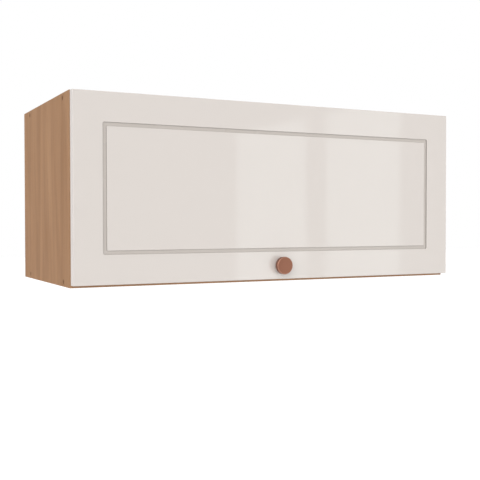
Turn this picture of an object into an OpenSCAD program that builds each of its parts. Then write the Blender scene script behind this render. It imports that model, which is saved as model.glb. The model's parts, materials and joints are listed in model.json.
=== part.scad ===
// Lift up wall cabinet: a low carcass with one top-hung flap, two cup hinges and two gas struts.
// World frame: X to the right, Y into the wall, Z up. The wall is at y = 0, and the origin lies
// midway between the two wall screw holes. Front frame: x, u outwards from the front edges of the
// boards, v down from the top of the carcass. Flap frame: x, q outwards from the flap's inner face,
// p down from the flap's top edge.

/* [Carcass] */
// Width over the side panels
cabinet_w = 700; // [560:10:900]
// Height of the side panels
cabinet_h = 294; // [280:1:360]
// Depth from the wall to the front edges of the boards
cabinet_d = 310; // [290:5:400]
// Thickness of the carcass boards
board_t = 15; // [15:0.5:16]
// Thickness of the hardboard back
back_t = 3; // [2.5:0.5:4]
// Thickness of the foil band on the front edges
band_t = 0.45; // [0.4:0.05:0.6]
// How far the back stops short of the outer edges
back_inset = 1; // [0.5:0.5:2]

/* [Wall fixing] */
// Distance between the two wall screw holes
wall_hole_spacing = 544; // [400:32:544]
// Diameter of the wall screw holes
wall_hole_d = 7; // [6:0.5:9]
// Height of the rail that the wall screws go through
rail_h = 60; // [50:1:80]
// Height of the wall screw holes below the top of the carcass
hang_drop = 45; // [40:1:50]

/* [Carcass joints] */
// Setback of the front screws from the front edges
screw_setback = 37.5; // [34:0.5:40]
// Distance between the front and the rear screws
screw_pitch = 224; // [192:1:230]
// Diameter of the carcass screws' countersunk heads
screw_head_d = 8; // [7:0.25:9]
// Diameter of the carcass screws
screw_d = 4; // [3.5:0.25:5]
// Length of the carcass screws
screw_l = 45; // [40:1:50]
// Diameter of the dowels
dowel_d = 8; // [6:1:9]
// Length of the dowels
dowel_l = 30; // [25:1:35]
// Depth of the dowels in the side panels
dowel_in_side = 10; // [8:0.5:11]
// Distance from a screw to the dowel beside it
dowel_step = 32; // [24:1:40]
// Largest distance between the nails of the back
nail_pitch = 150; // [100:10:200]
// Diameter of a nail
nail_d = 1.6; // [1.2:0.1:2]
// Diameter of a nail's head
nail_head_d = 4.4; // [3.5:0.1:5]
// Length of a nail
nail_l = 20; // [15:1:25]

/* [Flap] */
// Thickness of the flap
flap_t = 15; // [15:0.5:18]
// Gap between the flap and the front edges
flap_gap = 1; // [1:0.1:1.5]
// How far the flap stops short of the carcass at each side
side_reveal = 1; // [1:0.5:3]
// How far the flap stops short of the carcass at the top
top_reveal = 1; // [0.5:0.5:2]
// How far the flap stops short of the carcass at the bottom
bottom_reveal = 4; // [1:0.5:8]
// Radius of the flap's eased front edges
flap_edge_r = 1.2; // [0.5:0.1:2]
// Distance from the flap's edges to the milled groove
groove_margin = 45.5; // [43:0.5:70]
// Width of the groove
groove_w = 6; // [4:0.5:8]
// Depth of the groove
groove_depth = 2; // [1:0.1:2.4]
// Corner radius of the groove's outer wall
groove_r = 3; // [1:0.5:5]

/* [Knob] */
// Diameter of the knob's head
knob_d = 29; // [24:0.5:34]
// How far the knob stands out from the flap
knob_reach = 14.5; // [14:0.5:22]
// Thickness of the knob's head
knob_head_t = 8; // [6:0.5:9]
// Diameter of the knob's foot
knob_foot_d = 16; // [15:0.5:20]
// Diameter of the knob's neck
knob_neck_d = 12; // [9:0.5:14]
// Diameter of the knob's screw
knob_screw_d = 4; // [3:0.5:5]
// Length of the knob's screw below its head
knob_screw_l = 24; // [22:0.5:25]

/* [Hinges] */
// Distance from the outside of the carcass to a hinge's centre
hinge_inset = 100; // [70:1:150]
// Diameter of the hinge cup
cup_d = 35; // [35:1:36]
// Depth of the cup's bore in the flap
cup_depth = 12.5; // [12:0.1:13]
// Distance from the flap's top edge to the cup's centre
cup_centre = 22.5; // [22:0.5:23]
// Half width of the cup's pocket
pocket_half = 7.1; // [7:0.1:8]
// Diameter of the link pins
link_pin_d = 2.2; // [2:0.1:2.4]
// Front edge to the arm's lower link pin
arm_pin_u = 0; // [-0.5:0.1:0.5]
// Top of the carcass to the arm's lower link pin
arm_pin_v = 36; // [35.5:0.1:36.2]
// Front edge to the pin at the arm's nose
nose_pin_u = 9; // [8.6:0.1:9.2]
// Top of the carcass to the pin at the arm's nose
nose_pin_v = 34.4; // [34:0.1:34.8]
// Flap's top edge to the outer link's pin in the cup
cup_pin_outer_p = 12.5; // [12.2:0.1:12.8]
// Flap's inner face to the outer link's pin in the cup
cup_pin_outer_q = 2.8; // [2.6:0.1:3]
// Flap's top edge to the inner link's pin in the cup
cup_pin_inner_p = 14.5; // [14.2:0.1:14.8]
// Flap's inner face to the inner link's pin in the cup
cup_pin_inner_q = 5.6; // [5.4:0.1:5.8]
// Play of the inner link's eye on its pin in the cup
eye_play = 1.2; // [1.2:0.05:1.3]
// Setback of the mounting plate's screws from the front edges
plate_setback = 37; // [34:0.5:50]
// Distance between the mounting plate's screws
plate_pitch = 32; // [28:1:36]
// Distance between the cup flange's screws
cup_screw_pitch = 48; // [46:1:52]
// Offset of the cup flange's screws below the cup's centre
cup_screw_drop = 6; // [5:0.5:9]

/* [Gas struts] */
// Side panel's inner face to a strut's axis
strut_offset = 14; // [13:0.5:18]
// Front edge to the ball stud on the side panel
stud_setback = 149; // [147:0.5:151]
// Top of the carcass to the ball stud on the side panel
stud_drop = 28.5; // [28:0.1:29]
// Flap's top edge to the ball stud on the flap
flap_stud_p = 135; // [134:0.5:136]
// Flap's inner face to the ball stud on the flap
flap_stud_reach = 10; // [9.8:0.1:10.5]
// Diameter of the balls
ball_d = 8; // [7:0.5:9]
// Outer diameter of the strut's tube
tube_d = 15; // [15:0.5:18]
// Wall of the strut's tube
tube_wall = 0.9; // [0.8:0.1:1.2]
// Diameter of the piston rod
rod_d = 6; // [5:0.5:7]

/* [Hidden] */
$fn = 64;

// Colours
wood_colour = [0.67, 0.53, 0.42];
flap_colour = [0.9, 0.87, 0.84];
copper_colour = [0.66, 0.45, 0.36];
brown_colour = [0.42, 0.3, 0.22];
steel_colour = [0.75, 0.75, 0.76];
dark_colour = [0.13, 0.13, 0.14];

// Fits
play = 0.05;       // radial play of a pin, screw or dowel in its hole
hole_end = 0.5;    // free space past the end of a screw or dowel

// Carcass
half_w = cabinet_w / 2;
inner_half = half_w - board_t;
board_d = cabinet_d - back_t - band_t;
top_z = hang_drop;
screw_rows = [board_t / 2, cabinet_h - board_t / 2];
screw_columns = [screw_setback, screw_setback + screw_pitch];
dowel_columns = [screw_setback + dowel_step, screw_setback + screw_pitch - dowel_step];
rail_dowels_v = [board_t + rail_h / 4, board_t + 3 * rail_h / 4];
rail_mid_u = cabinet_d - back_t - board_t / 2;
screw_head_h = 2.4;

// Flap
flap_w = cabinet_w - 2 * side_reveal;
flap_h = cabinet_h - top_reveal - bottom_reveal;
knob_p = flap_h - groove_margin / 2;
knob_screw_head_d = 8;
knob_screw_head_h = 2.4;
knob_hole_play = 0.3;    // radial play of the knob's screw in the flap
knob_foot_t = 1.5;
knob_rim_r = 1.2;        // rounding of the head's rims
buffer_d = 8;
buffer_t = 0.8;
buffer_p = flap_h - 20;

// Hinges
hinge_x = half_w - hinge_inset;
pin_r = link_pin_d / 2;
link_half = 2.9;         // inner link's half width
ear_in = 3.1;            // inner face of the ears in the cup
ear_out = 4.1;           // outer face of the ears in the cup
ear_r = 2.2;             // radius of the ears round their pin
cheek_in = 4.4;          // arm's inner half width
cheek_out = 5.5;         // arm's outer half width
plate_in = 5.8;          // inner face of the outer link's plates
plate_out = 6.8;         // outer face of the outer link's plates
web_t = 1.1;             // thickness of the arm's web
arm_tail_u = -60;        // rear end of the arm
arm_bottom_v = arm_pin_v + 2.4;
arm_top_v = 27;          // edge of the arm's cheeks that faces the top panel
arm_fix_u = -51;         // arm's fixing screw
arm_adjust_u = -21;      // arm's adjusting screw
wing_t = 2.5;            // thickness of the mounting plate's wings
cup_wall = 0.8;
cup_floor = 1;
flange_t = 0.7;
flange_r = cup_d / 2 + 1.1;
eye_wall = 0.9;
outer_link_w = 3.6;
inner_link_w = 4;
nose_w = 5;              // width of the arm's nose
plate_w = 13;            // width of the mounting plate's wings
flange_w = 12;           // width of the cup's flange at its screws
plate_front_u = -10;     // front end of the mounting plate
arm_front_u = 4;         // front end of the arm's web
link_bend = [2, 5.3];     // pin in the cup to the outer link's bend
arm_pin = [arm_pin_u, arm_pin_v];
nose_pin = [nose_pin_u, nose_pin_v];
outer_pin = [flap_gap + cup_pin_outer_q, top_reveal + cup_pin_outer_p];
inner_pin = [flap_gap + cup_pin_inner_q, top_reveal + cup_pin_inner_p];

// Struts
strut_x = inner_half - strut_offset;
side_stud = [-stud_setback, stud_drop];
flap_stud = [flap_gap - flap_stud_reach, top_reveal + flap_stud_p];
strut_run = flap_stud - side_stud;
strut_l = norm(strut_run);
strut_tilt = atan2(strut_run[1], strut_run[0]);
ball_r = ball_d / 2;
ball_play = 0.08;
socket_r = ball_r + 3;
socket_tail_r = 5;
socket_front = 3;        // ball's centre to the socket's open face
socket_back = 5.5;       // ball's centre to the socket's closed face
socket_l = 15;           // ball's centre to the end of the socket's tail
thread_r = 2.5;
thread_l = 6;
rod_shown = 9;           // rod that shows between the tube and its socket when the flap is shut
tube_l = strut_l - 2 * socket_l - rod_shown;
tube_end_t = 3;
piston_t = 7;
piston_gap = 0.6;
guide_t = 9;
guide_gap = 0.5;
rim_t = 1.5;
bracket_t = 2;
side_bracket_w = 14;
flap_bracket_w = 15;
flap_bracket_ear = 6;    // half width of the flap bracket's ear
stud_neck_r = 2.2;
collar_t = 1.8;          // thickness of a stud's collar, and how far it stands out
ear_x = strut_x + socket_r + 1;

// Places things written in the front frame.
module in_front() {
    translate([0, -cabinet_d, top_z]) rotate([180, 0, 0]) children();
}

// Places things written in the flap frame.
module in_flap() {
    in_front() translate([0, flap_gap, top_reveal]) children();
}

// Keeps or mirrors a thing that is written for the right-hand side.
module on_side(side) {
    if (side < 0) mirror([1, 0, 0]) children();
    else children();
}

// Extrude along one axis of the local frame: outlines are (u, v), (x, v) and (x, u).
module along_x(from, to) {
    translate([from, 0, 0]) rotate([90, 0, 90]) linear_extrude(to - from) children();
}

module along_u(from, to) {
    translate([0, to, 0]) rotate([90, 0, 0]) linear_extrude(to - from) children();
}

module along_v(from, to) {
    translate([0, 0, from]) linear_extrude(to - from) children();
}

// Round pins and bores along x and along u.
module rod_x(from, to, r, at) {
    translate([from, at[0], at[1]]) rotate([0, 90, 0]) cylinder(h = to - from, r = r);
}

module rod_u(from, to, r, x, v) {
    translate([x, to, v]) rotate([90, 0, 0]) cylinder(h = to - from, r = r);
}

// Flat bar with round ends between two points.
module bar(a, b, w) {
    run = b - a;
    translate(a) circle(r = w / 2);
    translate(b) circle(r = w / 2);
    translate(a) rotate(atan2(run[1], run[0])) translate([0, -w / 2]) square([norm(run), w]);
}

// Rectangle with round corners, centred on the origin.
module round_rect(w, h, r) {
    square([w - 2 * r, h], center = true);
    square([w, h - 2 * r], center = true);
    for (sx = [-1, 1], sy = [-1, 1]) translate([sx * (w / 2 - r), sy * (h / 2 - r)]) circle(r = r);
}

// Cross recess in the top of a screw head at z = 0, going down.
module cross_recess(size, depth) {
    for (turn = [0, 90])
        rotate([0, 0, turn]) translate([-size / 2, -size / 8, -1]) cube([size, size / 4, depth + 1]);
}

// Countersunk screw going down +z from its flush head at z = 0.
module flush_screw(d, head_d, head_h, length) {
    tip_h = d;
    difference() {
        rotate_extrude() polygon([
            [0, 0], [head_d / 2, 0], [d / 2, head_h], [d / 2, length - tip_h], [0.4, length], [0, length]
        ]);
        cross_recess(head_d * 0.55, head_h * 0.55);
    }
}

// Hole for a countersunk screw, with play all round.
module flush_hole(d, head_d, head_h, length) {
    rotate_extrude() polygon([
        [0, -1], [head_d / 2 + play, -1], [head_d / 2 + play, play], [d / 2 + play, head_h + play],
        [d / 2 + play, length], [0, length]
    ]);
}

// Pan-head screw: the head stands up from z = 0 and the shank goes down +z.
module pan_screw(d, head_d, head_h, length) {
    difference() {
        rotate_extrude() polygon([
            [0, -head_h], [head_d * 0.36, -head_h], [head_d / 2, -head_h * 0.45], [head_d / 2, 0],
            [d / 2, 0], [d / 2, length - d], [0.4, length], [0, length]
        ]);
        translate([0, 0, -head_h]) cross_recess(head_d * 0.6, head_h * 0.6);
    }
}

// ---- Carcass: boards ----

// Everything that is drilled through one end of the carcass, written for the right-hand side.
module end_screws_at() {
    for (v = screw_rows, setback = screw_columns)
        translate([half_w, -setback, v]) rotate([0, -90, 0]) children();
}

module end_dowels_at() {
    for (v = screw_rows, setback = dowel_columns)
        translate([inner_half + dowel_in_side, -setback, v]) rotate([0, -90, 0]) children();
    for (v = rail_dowels_v)
        translate([inner_half + dowel_in_side, -rail_mid_u, v]) rotate([0, -90, 0]) children();
}

module end_bores() {
    end_screws_at() flush_hole(screw_d, screw_head_d, screw_head_h, screw_l + hole_end);
    end_dowels_at()
        translate([0, 0, -hole_end]) cylinder(h = dowel_l + 2 * hole_end, r = dowel_d / 2 + play);
}

module side_panel(side) {
    color(wood_colour) on_side(side) difference() {
        in_front() translate([inner_half, -band_t - board_d, 0]) cube([board_t, board_d, cabinet_h]);
        in_front() end_bores();
        in_front() side_bracket_screws_at()
            cylinder(h = small_screw_l + hole_end, r = small_screw_d / 2 + play);
        nail_holes();
    }
}

module cross_board(v) {
    difference() {
        in_front() translate([-inner_half, -band_t - board_d, v])
            cube([2 * inner_half, board_d, board_t]);
        for (side = [-1, 1]) on_side(side) in_front() end_bores();
        nail_holes();
    }
}

module top_panel() {
    color(wood_colour) difference() {
        cross_board(0);
        for (side = [-1, 1]) on_side(side) in_front() plate_screws_at()
            cylinder(h = plate_screw_l + hole_end, r = plate_screw_d / 2 + play);
    }
}

module bottom_panel() {
    color(wood_colour) cross_board(cabinet_h - board_t);
}

module hanging_rail() {
    color(wood_colour) difference() {
        in_front() translate([-inner_half, -cabinet_d + back_t, board_t])
            cube([2 * inner_half, board_t, rail_h]);
        for (side = [-1, 1]) on_side(side) in_front() end_bores();
        wall_holes();
        nail_holes();
    }
}

module back_panel() {
    color(brown_colour) difference() {
        translate([-half_w + back_inset, -back_t, top_z - cabinet_h + back_inset])
            cube([cabinet_w - 2 * back_inset, back_t, cabinet_h - 2 * back_inset]);
        wall_holes();
        nail_holes();
    }
}

module wall_holes() {
    for (side = [-1, 1])
        translate([side * wall_hole_spacing / 2, 1, 0]) rotate([90, 0, 0])
            cylinder(h = board_t + back_t + 2, r = wall_hole_d / 2);
}

// ---- Carcass: edge bands, dowels, screws and nails ----

module edge_bands() {
    color(wood_colour) in_front() {
        for (side = [-1, 1]) on_side(side)
            translate([inner_half, -band_t, 0]) cube([board_t, band_t, cabinet_h]);
        for (v = [0, cabinet_h - board_t])
            translate([-inner_half, -band_t, v]) cube([2 * inner_half, band_t, board_t]);
    }
}

module dowels() {
    chamfer = 1;
    color([0.85, 0.72, 0.52]) for (side = [-1, 1]) on_side(side) in_front() end_dowels_at()
        rotate_extrude() polygon([
            [0, 0], [dowel_d / 2 - chamfer, 0], [dowel_d / 2, chamfer],
            [dowel_d / 2, dowel_l - chamfer], [dowel_d / 2 - chamfer, dowel_l], [0, dowel_l]
        ]);
}

module carcass_screws(side) {
    color(brown_colour) on_side(side) in_front() end_screws_at()
        flush_screw(screw_d, screw_head_d, screw_head_h, screw_l);
}

nail_head_h = 0.8;
nail_margin = 50;        // corners of the carcass to the nails beside them
nail_tip = 2;
nail_rail_v = board_t + rail_h * 0.8;
nail_columns = ceil((cabinet_w - 2 * nail_margin) / nail_pitch);
nail_rows = ceil((cabinet_h - 2 * nail_margin) / nail_pitch);

// Nails through the back: along the top, the bottom, the rail and both sides.
module nails_at() {
    reach_x = cabinet_w - 2 * nail_margin;
    reach_z = cabinet_h - 2 * nail_margin;
    for (i = [0 : nail_columns], v = [board_t / 2, cabinet_h - board_t / 2])
        translate([-reach_x / 2 + i * reach_x / nail_columns, 0, top_z - v]) rotate([90, 0, 0]) children();
    for (i = [1 : nail_columns - 1])
        translate([-reach_x / 2 + i * reach_x / nail_columns, 0, top_z - nail_rail_v])
            rotate([90, 0, 0]) children();
    for (i = [0 : nail_rows], side = [-1, 1])
        translate([side * (half_w - board_t / 2), 0, top_z - nail_margin - i * reach_z / nail_rows])
            rotate([90, 0, 0]) children();
}

module nail_holes() {
    nails_at() {
        translate([0, 0, -1]) cylinder(h = nail_l + 1 + hole_end, r = nail_d / 2 + play);
        translate([0, 0, -1]) cylinder(h = nail_head_h + 1 + play, r = nail_head_d / 2 + play);
    }
}

module back_nails() {
    color(steel_colour) nails_at() rotate_extrude() polygon([
        [0, 0], [nail_head_d / 2, 0], [nail_head_d / 2, nail_head_h], [nail_d / 2, nail_head_h],
        [nail_d / 2, nail_l - nail_tip], [0.15, nail_l], [0, nail_l]
    ]);
}

// ---- Flap ----

// Section of the flap across one direction: eased on the front only.
module eased_section(length) {
    r = flap_edge_r;
    translate([0, 0]) square([length, flap_t - r]);
    translate([r, 0]) square([length - 2 * r, flap_t]);
    for (at = [r, length - r]) translate([at, flap_t - r]) circle(r = r);
}

module groove_ring() {
    w = flap_w - 2 * groove_margin;
    h = flap_h - 2 * groove_margin;
    translate([0, flap_h / 2]) difference() {
        round_rect(w, h, groove_r);
        square([w - 2 * groove_w, h - 2 * groove_w], center = true);
    }
}

module flap_panel() {
    color(flap_colour) in_flap() difference() {
        intersection() {
            translate([-flap_w / 2, 0, 0]) linear_extrude(flap_h) eased_section(flap_w);
            translate([-flap_w / 2, 0, 0]) rotate([90, 0, 90]) linear_extrude(flap_w)
                mirror([1, -1, 0]) eased_section(flap_h);
        }
        along_u(flap_t - groove_depth, flap_t + 1) groove_ring();
        rod_u(-1, flap_t + 1, knob_screw_d / 2 + knob_hole_play, 0, knob_p);
        for (side = [-1, 1]) on_side(side) {
            rod_u(-1, cup_depth, cup_d / 2, hinge_x, cup_centre);
            cup_screws_at() cylinder(h = cup_screw_l + hole_end, r = cup_screw_d / 2 + play);
            flap_bracket_screws_at()
                cylinder(h = small_screw_l + hole_end, r = small_screw_d / 2 + play);
        }
    }
}

// Half section of a turned disc with round rims.
module disc_section(r, from, to, rim) {
    translate([0, from]) square([r - rim, to - from]);
    translate([0, from + rim]) square([r, to - from - 2 * rim]);
    for (z = [from + rim, to - rim]) translate([r - rim, z]) circle(r = rim);
}

// Turned knob, written with its axis up +z and its foot at z = 0.
module knob() {
    head_from = knob_reach - knob_head_t;
    color(copper_colour) in_flap() translate([0, flap_t, knob_p]) rotate([-90, 0, 0]) difference() {
        rotate_extrude() {
            disc_section(knob_foot_d / 2, 0, knob_foot_t, knob_foot_t / 4);
            translate([0, knob_foot_t / 2]) square([knob_neck_d / 2, head_from]);
            disc_section(knob_d / 2, head_from, knob_reach, knob_rim_r);
        }
        translate([0, 0, -1])
            cylinder(h = knob_screw_l - flap_t + 1 + hole_end, r = knob_screw_d / 2 + play);
    }
}

module knob_screw() {
    color(steel_colour) in_flap() translate([0, 0, knob_p]) rotate([-90, 0, 0])
        pan_screw(knob_screw_d, knob_screw_head_d, knob_screw_head_h, knob_screw_l);
}

module flap_buffers() {
    color([0.85, 0.86, 0.86, 0.7]) in_flap() for (side = [-1, 1])
        rod_u(-buffer_t, 0, buffer_d / 2, side * (half_w - board_t / 2 - side_reveal), buffer_p);
}

// ---- Hinges, written for the right-hand side with x measured from the middle of the cabinet ----

plate_screw_d = 3.5;
plate_screw_l = 12;
plate_screw_head_d = 6.8;
plate_screw_head_h = 2;
cup_screw_d = 3.5;
cup_screw_l = 11;
cup_screw_head_d = 6.6;
cup_screw_head_h = 1.4;
arm_screw_d = 4;
arm_screw_l = 10;
arm_screw_head_d = 7;
arm_screw_head_h = 2;
cup_screw_p = cup_centre + cup_screw_drop;

module plate_screws_at() {
    for (s = [-1, 1])
        translate([hinge_x + s * plate_pitch / 2, -plate_setback, board_t]) rotate([180, 0, 0]) children();
}

module cup_screws_at() {
    for (s = [-1, 1])
        translate([hinge_x + s * cup_screw_pitch / 2, 0, cup_screw_p]) rotate([-90, 0, 0]) children();
}

module arm_screws_at() {
    for (u = [arm_fix_u, arm_adjust_u])
        translate([hinge_x, u, arm_bottom_v]) rotate([180, 0, 0]) children();
}

module hinge_plate(side) {
    boss_half = cheek_in - 0.2;
    color(steel_colour) on_side(side) in_front() difference() {
        union() {
            translate([hinge_x, -plate_setback, 0]) along_v(board_t, board_t + wing_t)
                bar([-plate_pitch / 2, 0], [plate_pitch / 2, 0], plate_w);
            translate([hinge_x - boss_half, arm_tail_u, board_t])
                cube([2 * boss_half, plate_front_u - arm_tail_u, arm_bottom_v - web_t - board_t]);
        }
        plate_screws_at() translate([0, 0, -wing_t])
            flush_hole(plate_screw_d, plate_screw_head_d, plate_screw_head_h, plate_screw_l + hole_end);
        arm_screws_at() cylinder(h = arm_screw_l + hole_end, r = arm_screw_d / 2 + play);
    }
}

module cheek_outline() {
    translate([arm_tail_u, arm_top_v]) square([arm_front_u - arm_tail_u, arm_bottom_v - arm_top_v]);
    bar([arm_pin_u, nose_pin_v], nose_pin, nose_w);
}

module hinge_arm(side) {
    color(steel_colour) on_side(side) in_front() translate([hinge_x, 0, 0]) difference() {
        union() {
            for (s = [-1, 1]) on_side(s) along_x(cheek_in, cheek_out) cheek_outline();
            along_v(arm_bottom_v - web_t, arm_bottom_v)
                translate([-cheek_out, arm_tail_u]) square([2 * cheek_out, arm_front_u - arm_tail_u]);
        }
        for (pin = [arm_pin, nose_pin]) rod_x(-cheek_out - 1, cheek_out + 1, pin_r + play, pin);
        translate([-hinge_x, 0, 0]) arm_screws_at()
            translate([0, 0, -1]) cylinder(h = 4, r = arm_screw_d / 2 + play);
    }
}

// Rivets at the arm's lower pin carry the outer link; one pin through the nose carries the inner link.
module hinge_arm_pins(side) {
    color(steel_colour) on_side(side) in_front() translate([hinge_x, 0, 0]) {
        for (s = [-1, 1]) on_side(s) rod_x(cheek_in, plate_out, pin_r, arm_pin);
        rod_x(-cheek_out, cheek_out, pin_r, nose_pin);
    }
}

module hinge_outer_links(side) {
    color(steel_colour) on_side(side) in_front() translate([hinge_x, 0, 0])
        for (s = [-1, 1]) on_side(s) along_x(plate_in, plate_out) difference() {
            union() {
                bar(arm_pin, outer_pin + link_bend, outer_link_w);
                bar(outer_pin + link_bend, outer_pin, outer_link_w);
                translate(arm_pin) circle(r = pin_r + play + eye_wall + 0.2);
                translate(outer_pin) circle(r = pin_r + play + eye_wall);
            }
            for (pin = [arm_pin, outer_pin]) translate(pin) circle(r = pin_r + play);
        }
}

// The eye in the cup has play, because this is the pivot where the closed linkage is opened.
module hinge_inner_link(side) {
    color(steel_colour) on_side(side) in_front() translate([hinge_x, 0, 0])
        along_x(-link_half, link_half) difference() {
            union() {
                bar(nose_pin, inner_pin, inner_link_w);
                translate(nose_pin) circle(r = pin_r + play + 1.4);
                translate(inner_pin) circle(r = pin_r + eye_play + eye_wall);
            }
            translate(nose_pin) circle(r = pin_r + play);
            translate(inner_pin) circle(r = pin_r + eye_play);
        }
}

// Pocket of the cup, seen from inside the cabinet.
module pocket_outline() {
    intersection() {
        circle(r = cup_d / 2 - cup_wall);
        square([2 * pocket_half, cup_d], center = true);
    }
}

module hinge_cup(side) {
    pocket_floor = cup_depth - 0.2 - cup_floor;
    ear_l = pocket_floor + cup_floor / 2 - cup_pin_inner_q;
    color(steel_colour) on_side(side) in_flap() difference() {
        union() {
            difference() {
                union() {
                    rod_u(0, cup_depth - 0.2, cup_d / 2 - play, hinge_x, cup_centre);
                    along_u(-flange_t, 0) translate([hinge_x, 0]) {
                        translate([0, cup_centre]) circle(r = flange_r);
                        translate([0, cup_screw_p])
                            bar([-cup_screw_pitch / 2, 0], [cup_screw_pitch / 2, 0], flange_w);
                    }
                }
                along_u(-flange_t - 1, pocket_floor) translate([hinge_x, cup_centre]) pocket_outline();
            }
            translate([hinge_x, 0, 0]) for (s = [-1, 1]) on_side(s) along_x(ear_in, ear_out)
                translate([cup_pin_inner_q, cup_pin_inner_p]) {
                    circle(r = ear_r);
                    translate([0, -ear_r]) square([ear_l, 2 * ear_r]);
                }
        }
        cup_screws_at() translate([0, 0, -2]) cylinder(h = 4, r = cup_screw_d / 2 + play);
        translate([hinge_x, 0, 0]) {
            rod_x(-pocket_half - 2.5, pocket_half + 2.5, pin_r + play, [cup_pin_outer_q, cup_pin_outer_p]);
            rod_x(-ear_out - 1, ear_out + 1, pin_r + play, [cup_pin_inner_q, cup_pin_inner_p]);
        }
    }
}

// Stubs in the cup's walls carry the outer link's plates; a pin between the ears carries the inner link.
module hinge_cup_pins(side) {
    reach = pocket_half + 2.3;
    color(steel_colour) on_side(side) in_flap() translate([hinge_x, 0, 0]) {
        for (s = [-1, 1]) on_side(s) rod_x(plate_in, reach, pin_r, [cup_pin_outer_q, cup_pin_outer_p]);
        rod_x(-ear_out, ear_out, pin_r, [cup_pin_inner_q, cup_pin_inner_p]);
    }
}

module hinge_plate_screws() {
    color(steel_colour) for (side = [-1, 1]) on_side(side) in_front() plate_screws_at()
        translate([0, 0, -wing_t])
            flush_screw(plate_screw_d, plate_screw_head_d, plate_screw_head_h, plate_screw_l);
}

module hinge_arm_screws() {
    color(steel_colour) for (side = [-1, 1]) on_side(side) in_front() arm_screws_at()
        pan_screw(arm_screw_d, arm_screw_head_d, arm_screw_head_h, arm_screw_l);
}

module hinge_cup_screws() {
    color(steel_colour) for (side = [-1, 1]) on_side(side) in_flap() cup_screws_at()
        translate([0, 0, -flange_t])
            pan_screw(cup_screw_d, cup_screw_head_d, cup_screw_head_h, cup_screw_l);
}

// ---- Gas struts, written for the right-hand side ----

small_screw_d = 3.5;
small_screw_l = 11;
small_screw_head_d = 7;
small_screw_head_h = 2;
side_bracket_pitch = 32;
flap_bracket_pitch = 28;

module small_screw() {
    pan_screw(small_screw_d, small_screw_head_d, small_screw_head_h, small_screw_l);
}

module side_bracket_screws_at() {
    for (s = [-1, 1])
        translate([inner_half, side_stud[0] + s * side_bracket_pitch / 2, side_stud[1]])
            rotate([0, 90, 0]) children();
}

module flap_bracket_screws_at() {
    for (s = [-1, 1])
        translate([strut_x, 0, flap_stud_p + s * flap_bracket_pitch / 2]) rotate([-90, 0, 0]) children();
}

// Places a thing that is drawn along +x from the side panel's ball towards the flap's ball.
module along_strut() {
    in_front() translate([strut_x, side_stud[0], side_stud[1]])
        rotate([strut_tilt, 0, 0]) rotate([0, 0, 90]) children();
}

module tube_part(from, to, r) {
    translate([from, 0, 0]) rotate([0, 90, 0]) cylinder(h = to - from, r = r);
}

module strut_side_bracket(side) {
    color(steel_colour) on_side(side) in_front() difference() {
        along_x(inner_half - bracket_t, inner_half) translate(side_stud)
            bar([-side_bracket_pitch / 2, 0], [side_bracket_pitch / 2, 0], side_bracket_w);
        rod_x(inner_half - bracket_t - 1, inner_half + 1, stud_neck_r + play, side_stud);
        side_bracket_screws_at() translate([0, 0, -3]) cylinder(h = 4, r = small_screw_d / 2 + play);
    }
}

// Ball stud along +x: ball at x = 0, collar against the face at x = reach, rivet through the plate.
module ball_stud(reach) {
    rotate([0, 90, 0]) rotate_extrude() {
        intersection() {
            circle(r = ball_r);
            translate([0, -ball_r]) square([ball_r, 2 * ball_r]);
        }
        square([stud_neck_r, reach + bracket_t]);
        translate([0, reach - collar_t]) square([stud_neck_r + collar_t, collar_t]);
    }
}

module strut_side_stud(side) {
    color(steel_colour) on_side(side) in_front() translate([strut_x, side_stud[0], side_stud[1]])
        ball_stud(strut_offset - bracket_t);
}

module strut_flap_bracket(side) {
    color(steel_colour) on_side(side) in_flap() difference() {
        union() {
            along_u(-bracket_t, 0) translate([strut_x, flap_stud_p]) 
                round_rect(flap_bracket_w, flap_bracket_pitch + flap_bracket_w, 4);
            along_u(-bracket_t, 0) translate([strut_x, flap_stud_p - flap_bracket_ear])
                square([ear_x - strut_x + bracket_t, 2 * flap_bracket_ear]);
            along_x(ear_x, ear_x + bracket_t) {
                translate([-flap_stud_reach, flap_stud_p]) circle(r = flap_bracket_ear);
                translate([-flap_stud_reach, flap_stud_p - flap_bracket_ear])
                    square([flap_stud_reach, 2 * flap_bracket_ear]);
            }
        }
        rod_x(ear_x - 1, ear_x + bracket_t + 1, stud_neck_r + play, [-flap_stud_reach, flap_stud_p]);
        flap_bracket_screws_at() translate([0, 0, -3]) cylinder(h = 4, r = small_screw_d / 2 + play);
    }
}

module strut_flap_stud(side) {
    color(steel_colour) on_side(side) in_flap() translate([strut_x, -flap_stud_reach, flap_stud_p])
        ball_stud(ear_x - strut_x);
}

// End fitting with its ball at x = 0 and its tail along +x. It opens towards the side panel.
module ball_socket() {
    difference() {
        union() {
            translate([0, 0, -socket_back]) cylinder(h = socket_back + socket_front, r = socket_r);
            tube_part(0, socket_l, socket_tail_r);
        }
        sphere(r = ball_r + ball_play);
        cylinder(h = socket_front + 1, r = stud_neck_r + 1);
        tube_part(socket_l - thread_l - hole_end, socket_l + 1, thread_r + play);
        translate([0, 0, socket_front + 5]) cube([4 * socket_l, 4 * socket_l, 10], center = true);
    }
}

// Turns an end fitting so that its open side faces the side panel.
module facing_panel() {
    rotate([90, 0, 0]) children();
}

module strut_tube_socket(side) {
    color(dark_colour) on_side(side) along_strut() facing_panel() ball_socket();
}

module strut_rod_socket(side) {
    color(dark_colour) on_side(side) along_strut() translate([strut_l, 0, 0])
        mirror([1, 0, 0]) facing_panel() ball_socket();
}

module strut_tube(side) {
    r = tube_d / 2;
    end = socket_l + tube_l;
    color(dark_colour) on_side(side) along_strut() {
        difference() {
            tube_part(socket_l, end, r);
            tube_part(socket_l + tube_end_t, end - rim_t, r - tube_wall);
            tube_part(end - rim_t - 1, end + 1, r - tube_wall - 1.2);
        }
        tube_part(socket_l - thread_l, socket_l + 1, thread_r);
    }
}

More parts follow.
